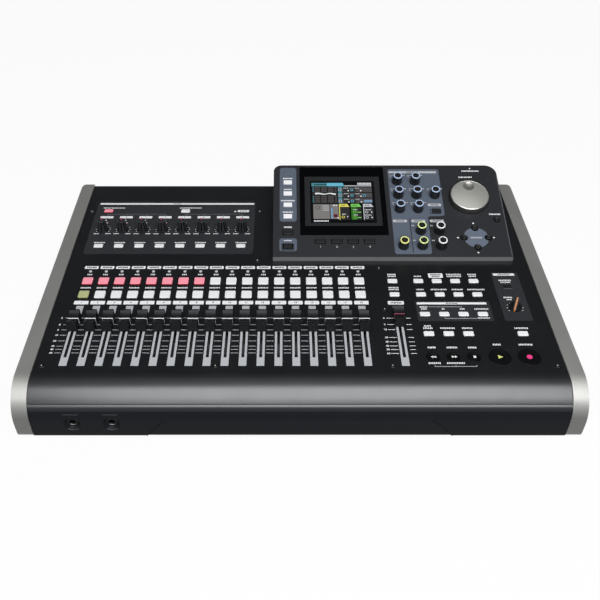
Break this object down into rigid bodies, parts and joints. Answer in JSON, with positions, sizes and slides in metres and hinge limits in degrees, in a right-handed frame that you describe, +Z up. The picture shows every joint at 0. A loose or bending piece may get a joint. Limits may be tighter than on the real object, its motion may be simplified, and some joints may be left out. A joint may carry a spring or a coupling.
{
  "type": "digital multitrack recorder",
  "caption": "Desktop digital multitrack recorder: sloping dark panel with faders, lit keys, trim knobs, a raised display housing with data wheel, and silver end cheeks.",
  "frame": {"origin": "middle of the footprint, on the surface that the feet stand on", "axes": "+X to the right along the width, +Y to the rear, +Z up"},
  "size_m": [0.5146, 0.34, 0.1043],
  "materials": {
    "case_black": "satin",
    "panel_black": "satin",
    "cheek_silver": "satin",
    "housing_grey": "satin",
    "window_black": "gloss",
    "screen_frame": "satin",
    "board_green": "satin",
    "body_steel": "brushed",
    "socket_black": "satin",
    "foot_rubber": "matte",
    "screw_black": "satin",
    "key_white": "satin",
    "key_black": "satin",
    "fader_black": "satin",
    "knob_black": "satin",
    "jog_silver": "satin"
  },
  "bodies": {
    "chassis": {"bottom_case": "case_black", "top_panel": "panel_black", "left_cheek": "cheek_silver", "right_cheek": "cheek_silver", "display_housing": "housing_grey", "display_window": "window_black", "lcd_module": "screen_frame", "circuit_boards": "board_green", "fader_bodies": "body_steel", "rotary_bodies": "body_steel", "jack_sockets": "socket_black", "feet": "foot_rubber", "screws": "screw_black"},
    "fader_01": {"fader_01": "fader_black"},
    "fader_02": {"fader_02": "fader_black"},
    "fader_03": {"fader_03": "fader_black"},
    "fader_04": {"fader_04": "fader_black"},
    "fader_05": {"fader_05": "fader_black"},
    "fader_06": {"fader_06": "fader_black"},
    "fader_07": {"fader_07": "fader_black"},
    "fader_08": {"fader_08": "fader_black"},
    "fader_09": {"fader_09": "fader_black"},
    "fader_10": {"fader_10": "fader_black"},
    "fader_11": {"fader_11": "fader_black"},
    "fader_12": {"fader_12": "fader_black"},
    "fader_13": {"fader_13": "fader_black"},
    "fader_14": {"fader_14": "fader_black"},
    "fader_15": {"fader_15": "fader_black"},
    "fader_16": {"fader_16": "fader_black"},
    "fader_17": {"fader_17": "fader_black"},
    "fader_18": {"fader_18": "fader_black"},
    "master_fader": {"master_fader": "fader_black"},
    "trim_knob_01": {"trim_knob_01": "knob_black"},
    "trim_knob_02": {"trim_knob_02": "knob_black"},
    "trim_knob_03": {"trim_knob_03": "knob_black"},
    "trim_knob_04": {"trim_knob_04": "knob_black"},
    "trim_knob_05": {"trim_knob_05": "knob_black"},
    "trim_knob_06": {"trim_knob_06": "knob_black"},
    "trim_knob_07": {"trim_knob_07": "knob_black"},
    "trim_knob_08": {"trim_knob_08": "knob_black"},
    "monitor_knob": {"monitor_knob": "knob_black"},
    "encoder_01": {"encoder_01": "knob_black"},
    "encoder_02": {"encoder_02": "knob_black"},
    "encoder_03": {"encoder_03": "knob_black"},
    "encoder_04": {"encoder_04": "knob_black"},
    "encoder_05": {"encoder_05": "knob_black"},
    "encoder_06": {"encoder_06": "knob_black"},
    "encoder_07": {"encoder_07": "knob_black"},
    "encoder_08": {"encoder_08": "knob_black"},
    "encoder_09": {"encoder_09": "knob_black"},
    "encoder_10": {"encoder_10": "knob_black"},
    "encoder_11": {"encoder_11": "knob_black"},
    "encoder_12": {"encoder_12": "knob_black"},
    "jog_wheel": {"jog_wheel": "jog_silver"},
    "rec_keys": {"rec_keys": "key_white"},
    "select_keys": {"select_keys": "key_white"},
    "input_keys": {"input_keys": "key_white"},
    "function_keys": {"function_keys": "key_white"},
    "display_keys": {"display_keys": "key_white"},
    "transport_keys": {"transport_keys": "key_black"}
  },
  "joints": [
    {"name": "fader_01_slide", "type": "slide", "parent": "chassis", "child": "fader_01", "axis": [0, 0.9998, 0.0175], "range_m": [-0.0365, 0.0085]},
    {"name": "fader_02_slide", "type": "slide", "parent": "chassis", "child": "fader_02", "axis": [0, 0.9998, 0.0175], "range_m": [-0.0365, 0.0085]},
    {"name": "fader_03_slide", "type": "slide", "parent": "chassis", "child": "fader_03", "axis": [0, 0.9998, 0.0175], "range_m": [-0.0365, 0.0085]},
    {"name": "fader_04_slide", "type": "slide", "parent": "chassis", "child": "fader_04", "axis": [0, 0.9998, 0.0175], "range_m": [-0.0365, 0.0085]},
    {"name": "fader_05_slide", "type": "slide", "parent": "chassis", "child": "fader_05", "axis": [0, 0.9998, 0.0175], "range_m": [-0.0365, 0.0085]},
    {"name": "fader_06_slide", "type": "slide", "parent": "chassis", "child": "fader_06", "axis": [0, 0.9998, 0.0175], "range_m": [-0.0365, 0.0085]},
    {"name": "fader_07_slide", "type": "slide", "parent": "chassis", "child": "fader_07", "axis": [0, 0.9998, 0.0175], "range_m": [-0.0365, 0.0085]},
    {"name": "fader_08_slide", "type": "slide", "parent": "chassis", "child": "fader_08", "axis": [0, 0.9998, 0.0175], "range_m": [-0.0365, 0.0085]},
    {"name": "fader_09_slide", "type": "slide", "parent": "chassis", "child": "fader_09", "axis": [0, 0.9998, 0.0175], "range_m": [-0.0365, 0.0085]},
    {"name": "fader_10_slide", "type": "slide", "parent": "chassis", "child": "fader_10", "axis": [0, 0.9998, 0.0175], "range_m": [-0.0365, 0.0085]},
    {"name": "fader_11_slide", "type": "slide", "parent": "chassis", "child": "fader_11", "axis": [0, 0.9998, 0.0175], "range_m": [-0.0365, 0.0085]},
    {"name": "fader_12_slide", "type": "slide", "parent": "chassis", "child": "fader_12", "axis": [0, 0.9998, 0.0175], "range_m": [-0.0365, 0.0085]},
    {"name": "fader_13_slide", "type": "slide", "parent": "chassis", "child": "fader_13", "axis": [0, 0.9998, 0.0175], "range_m": [-0.0365, 0.0085]},
    {"name": "fader_14_slide", "type": "slide", "parent": "chassis", "child": "fader_14", "axis": [0, 0.9998, 0.0175], "range_m": [-0.0365, 0.0085]},
    {"name": "fader_15_slide", "type": "slide", "parent": "chassis", "child": "fader_15", "axis": [0, 0.9998, 0.0175], "range_m": [-0.0365, 0.0085]},
    {"name": "fader_16_slide", "type": "slide", "parent": "chassis", "child": "fader_16", "axis": [0, 0.9998, 0.0175], "range_m": [-0.0365, 0.0085]},
    {"name": "fader_17_slide", "type": "slide", "parent": "chassis", "child": "fader_17", "axis": [0, 0.9998, 0.0175], "range_m": [-0.0365, 0.0085]},
    {"name": "fader_18_slide", "type": "slide", "parent": "chassis", "child": "fader_18", "axis": [0, 0.9998, 0.0175], "range_m": [-0.0365, 0.0085]},
    {"name": "master_fader_slide", "type": "slide", "parent": "chassis", "child": "master_fader", "axis": [0, 0.9998, 0.0175], "range_m": [-0.043, 0.002]},
    {"name": "trim_knob_01_turn", "type": "hinge", "parent": "chassis", "child": "trim_knob_01", "pos_m": [-0.21675, 0.07791, 0.05926], "axis": [0, -0.0175, 0.9998], "range_deg": [-150, 150]},
    {"name": "trim_knob_02_turn", "type": "hinge", "parent": "chassis", "child": "trim_knob_02", "pos_m": [-0.1946, 0.07791, 0.05926], "axis": [0, -0.0175, 0.9998], "range_deg": [-150, 150]},
    {"name": "trim_knob_03_turn", "type": "hinge", "parent": "chassis", "child": "trim_knob_03", "pos_m": [-0.17245, 0.07791, 0.05926], "axis": [0, -0.0175, 0.9998], "range_deg": [-150, 150]},
    {"name": "trim_knob_04_turn", "type": "hinge", "parent": "chassis", "child": "trim_knob_04", "pos_m": [-0.1503, 0.07791, 0.05926], "axis": [0, -0.0175, 0.9998], "range_deg": [-150, 150]},
    {"name": "trim_knob_05_turn", "type": "hinge", "parent": "chassis", "child": "trim_knob_05", "pos_m": [-0.12815, 0.07791, 0.05926], "axis": [0, -0.0175, 0.9998], "range_deg": [-150, 150]},
    {"name": "trim_knob_06_turn", "type": "hinge", "parent": "chassis", "child": "trim_knob_06", "pos_m": [-0.106, 0.07791, 0.05926], "axis": [0, -0.0175, 0.9998], "range_deg": [-150, 150]},
    {"name": "trim_knob_07_turn", "type": "hinge", "parent": "chassis", "child": "trim_knob_07", "pos_m": [-0.08385, 0.07791, 0.05926], "axis": [0, -0.0175, 0.9998], "range_deg": [-150, 150]},
    {"name": "trim_knob_08_turn", "type": "hinge", "parent": "chassis", "child": "trim_knob_08", "pos_m": [-0.0617, 0.07791, 0.05926], "axis": [0, -0.0175, 0.9998], "range_deg": [-150, 150]},
    {"name": "monitor_knob_turn", "type": "hinge", "parent": "chassis", "child": "monitor_knob", "pos_m": [0.21465, -0.05037, 0.05702], "axis": [0, -0.0175, 0.9998], "range_deg": [-128, 172]},
    {"name": "encoder_01_turn", "type": "hinge", "parent": "chassis", "child": "encoder_01", "pos_m": [0.11345, 0.12493, 0.09247], "axis": [0, -0.2756, 0.9613], "continuous": true},
    {"name": "encoder_02_turn", "type": "hinge", "parent": "chassis", "child": "encoder_02", "pos_m": [0.1337, 0.12493, 0.09247], "axis": [0, -0.2756, 0.9613], "continuous": true},
    {"name": "encoder_03_turn", "type": "hinge", "parent": "chassis", "child": "encoder_03", "pos_m": [0.11345, 0.10547, 0.08689], "axis": [0, -0.2756, 0.9613], "continuous": true},
    {"name": "encoder_04_turn", "type": "hinge", "parent": "chassis", "child": "encoder_04", "pos_m": [0.1337, 0.10547, 0.08689], "axis": [0, -0.2756, 0.9613], "continuous": true},
    {"name": "encoder_05_turn", "type": "hinge", "parent": "chassis", "child": "encoder_05", "pos_m": [0.15395, 0.10547, 0.08689], "axis": [0, -0.2756, 0.9613], "continuous": true},
    {"name": "encoder_06_turn", "type": "hinge", "parent": "chassis", "child": "encoder_06", "pos_m": [0.11345, 0.086, 0.08131], "axis": [0, -0.2756, 0.9613], "continuous": true},
    {"name": "encoder_07_turn", "type": "hinge", "parent": "chassis", "child": "encoder_07", "pos_m": [0.1337, 0.086, 0.08131], "axis": [0, -0.2756, 0.9613], "continuous": true},
    {"name": "encoder_08_turn", "type": "hinge", "parent": "chassis", "child": "encoder_08", "pos_m": [0.11345, 0.03727, 0.06733], "axis": [0, -0.2756, 0.9613], "continuous": true},
    {"name": "encoder_09_turn", "type": "hinge", "parent": "chassis", "child": "encoder_09", "pos_m": [0.1337, 0.05673, 0.07291], "axis": [0, -0.2756, 0.9613], "continuous": true},
    {"name": "encoder_10_turn", "type": "hinge", "parent": "chassis", "child": "encoder_10", "pos_m": [0.1337, 0.03727, 0.06733], "axis": [0, -0.2756, 0.9613], "continuous": true},
    {"name": "encoder_11_turn", "type": "hinge", "parent": "chassis", "child": "encoder_11", "pos_m": [0.15395, 0.05673, 0.07291], "axis": [0, -0.2756, 0.9613], "continuous": true},
    {"name": "encoder_12_turn", "type": "hinge", "parent": "chassis", "child": "encoder_12", "pos_m": [0.15395, 0.03727, 0.06733], "axis": [0, -0.2756, 0.9613], "continuous": true},
    {"name": "jog_wheel_turn", "type": "hinge", "parent": "chassis", "child": "jog_wheel", "pos_m": [0.1919, 0.10109, 0.08563], "axis": [0, -0.2756, 0.9613], "continuous": true},
    {"name": "rec_keys_press", "type": "slide", "parent": "chassis", "child": "rec_keys", "axis": [0, 0.0175, -0.9998], "range_m": [0, 0.0006], "stiffness_N_per_m": 1500, "springref_m": -0.001},
    {"name": "select_keys_press", "type": "slide", "parent": "chassis", "child": "select_keys", "axis": [0, 0.0175, -0.9998], "range_m": [0, 0.0006], "stiffness_N_per_m": 1500, "springref_m": -0.001},
    {"name": "input_keys_press", "type": "slide", "parent": "chassis", "child": "input_keys", "axis": [0, 0.0175, -0.9998], "range_m": [0, 0.0006], "stiffness_N_per_m": 1500, "springref_m": -0.001},
    {"name": "function_keys_press", "type": "slide", "parent": "chassis", "child": "function_keys", "axis": [0, 0.0175, -0.9998], "range_m": [0, 0.0006], "stiffness_N_per_m": 1500, "springref_m": -0.001},
    {"name": "display_keys_press", "type": "slide", "parent": "chassis", "child": "display_keys", "axis": [0, 0.2756, -0.9613], "range_m": [0, 0.0006], "stiffness_N_per_m": 1500, "springref_m": -0.001},
    {"name": "transport_keys_press", "type": "slide", "parent": "chassis", "child": "transport_keys", "axis": [0, 0.0175, -0.9998], "range_m": [0, 0.0006], "stiffness_N_per_m": 1500, "springref_m": -0.001}
  ]
}
